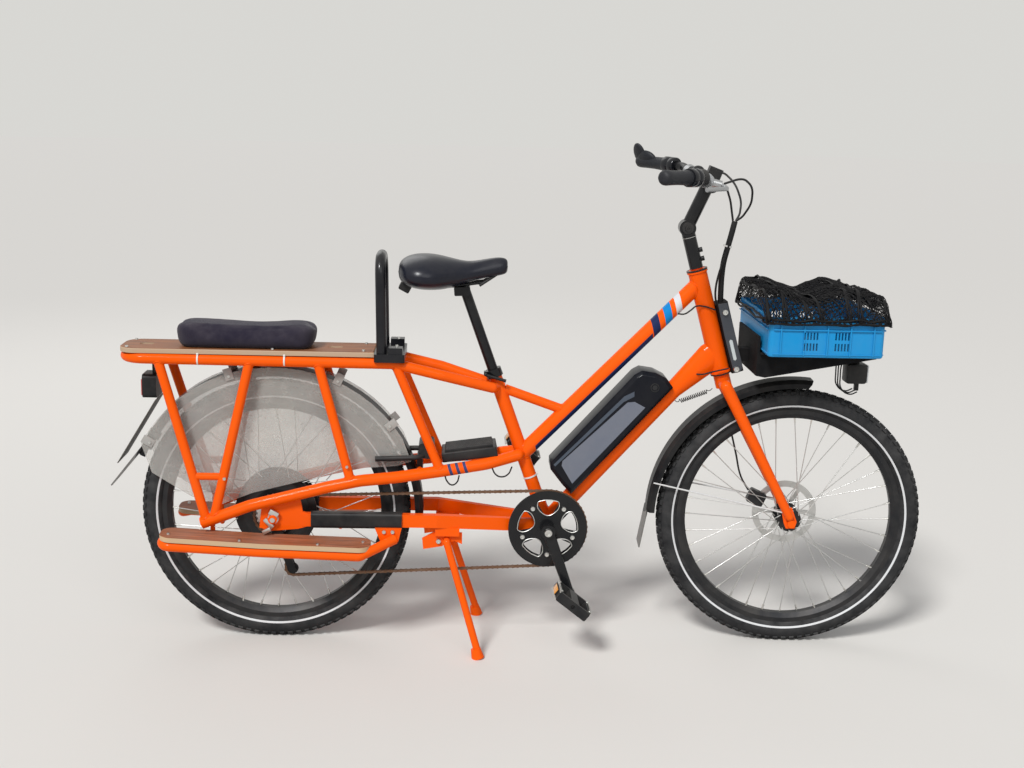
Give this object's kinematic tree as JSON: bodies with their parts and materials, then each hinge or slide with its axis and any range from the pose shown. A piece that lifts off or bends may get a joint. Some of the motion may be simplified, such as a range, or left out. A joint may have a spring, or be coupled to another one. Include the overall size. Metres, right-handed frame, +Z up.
{
  "type": "electric cargo bicycle",
  "caption": "Long-tail electric cargo bicycle with orange frame, rear deck with cushion and hoop, footboards, wheel skirts, front rack with crate, and centre stand.",
  "frame": {"origin": "on the floor under the middle of the overall length and width", "axes": "+X forward, +Y to the rider's left, +Z up; the bicycle is on its centre stand with the front wheel turned slightly right"},
  "size_m": [2.022, 0.671, 1.2222],
  "materials": {
    "orange_paint": "glossy orange paint with dust",
    "black_paint": "satin black paint",
    "tyre_rubber": "dusty black rubber",
    "rim_alloy": "black anodised, dusty",
    "hub_alloy": "black alloy",
    "steel": "bright steel",
    "chain_steel": "rusty steel",
    "wood_ply": "worn brown ply",
    "cushion_cloth": "dark purple cloth",
    "net_cord": "black elastic net",
    "skirt_sheet": "dusty smoked sheet",
    "black_plastic": "matte black",
    "plate_paint": "blank plate, grey-white",
    "saddle_skin": "smooth dark vinyl",
    "crate_blue": "bright blue plastic"
  },
  "bodies": {
    "frame": {"battery": "black_plastic", "cargo_net": "net_cord", "chain": "chain_steel", "chainstays": "orange_paint", "controller_box": "black_plastic", "crate": "crate_blue", "deck_board": "wood_ply", "deck_cushion": "cushion_cloth", "down_tube": "orange_paint", "footboard_frames": "orange_paint", "footboards": "wood_ply", "front_rack": "black_paint", "head_tube": "orange_paint", "headlamp": "black_plastic", "main_tube": "orange_paint", "passenger_hoop": "black_paint", "rack_loop": "orange_paint", "rack_struts": "orange_paint", "rear_caliper": "hub_alloy", "rear_derailleur": "black_plastic", "rear_lamp": "black_plastic", "rear_mudguard": "black_plastic", "rear_plate": "plate_paint", "ring_lock": "black_plastic", "saddle": "saddle_skin", "seat_post": "black_paint", "seat_tube": "orange_paint", "side_rails": "orange_paint", "stand_bracket": "orange_paint", "stay_cover": "black_plastic", "steering_spring": "steel", "wheel_skirts": "skirt_sheet"},
    "steering": {"fork": "orange_paint", "stem": "black_paint", "handlebar": "black_paint", "grips": "black_plastic", "brake_levers": "hub_alloy", "bar_fittings": "black_plastic", "bar_cables": "black_plastic", "cable_sleeve": "black_plastic", "front_mudguard": "black_plastic", "front_caliper": "hub_alloy"},
    "front_wheel": {"front_tyre": "tyre_rubber", "front_rim": "rim_alloy", "front_hub": "hub_alloy", "front_disc": "steel", "front_spokes": "steel"},
    "rear_wheel": {"rear_tyre": "tyre_rubber", "rear_rim": "rim_alloy", "rear_hub": "hub_alloy", "rear_sprockets": "steel", "rear_disc": "steel", "rear_spokes": "steel"},
    "crank": {"chainring": "black_paint", "crank_arms": "black_paint"},
    "pedal_right": {"pedal_right": "black_plastic"},
    "pedal_left": {"pedal_left": "black_plastic"},
    "stand": {"centre_stand": "orange_paint"}
  },
  "joints": [
    {"name": "steering_turn", "type": "hinge", "parent": "frame", "child": "steering", "pos_m": [0.4864, 0, 0.7069], "axis": [-0.2791, 0, 0.9603], "range_deg": [-51.8, 58.2]},
    {"name": "front_wheel_spin", "type": "hinge", "parent": "steering", "child": "front_wheel", "pos_m": [0.67888, -0.00449, 0.33247], "axis": [0.0536, 0.9984, 0.0156], "continuous": true},
    {"name": "rear_wheel_spin", "type": "hinge", "parent": "frame", "child": "rear_wheel", "pos_m": [-0.609, 0, 0.3325], "axis": [0, 1, 0], "continuous": true},
    {"name": "crank_spin", "type": "hinge", "parent": "frame", "child": "crank", "pos_m": [0.066, 0, 0.308], "axis": [0, 1, 0], "continuous": true},
    {"name": "pedal_right_spin", "type": "hinge", "parent": "crank", "child": "pedal_right", "pos_m": [0.12378, -0.138, 0.15345], "axis": [0, 1, 0], "continuous": true},
    {"name": "pedal_left_spin", "type": "hinge", "parent": "crank", "child": "pedal_left", "pos_m": [0.00822, 0.138, 0.46255], "axis": [0, 1, 0], "continuous": true},
    {"name": "stand_fold", "type": "hinge", "parent": "frame", "child": "stand", "pos_m": [-0.184, 0, 0.276], "axis": [0, 1, 0], "range_deg": [0, 78]}
  ]
}
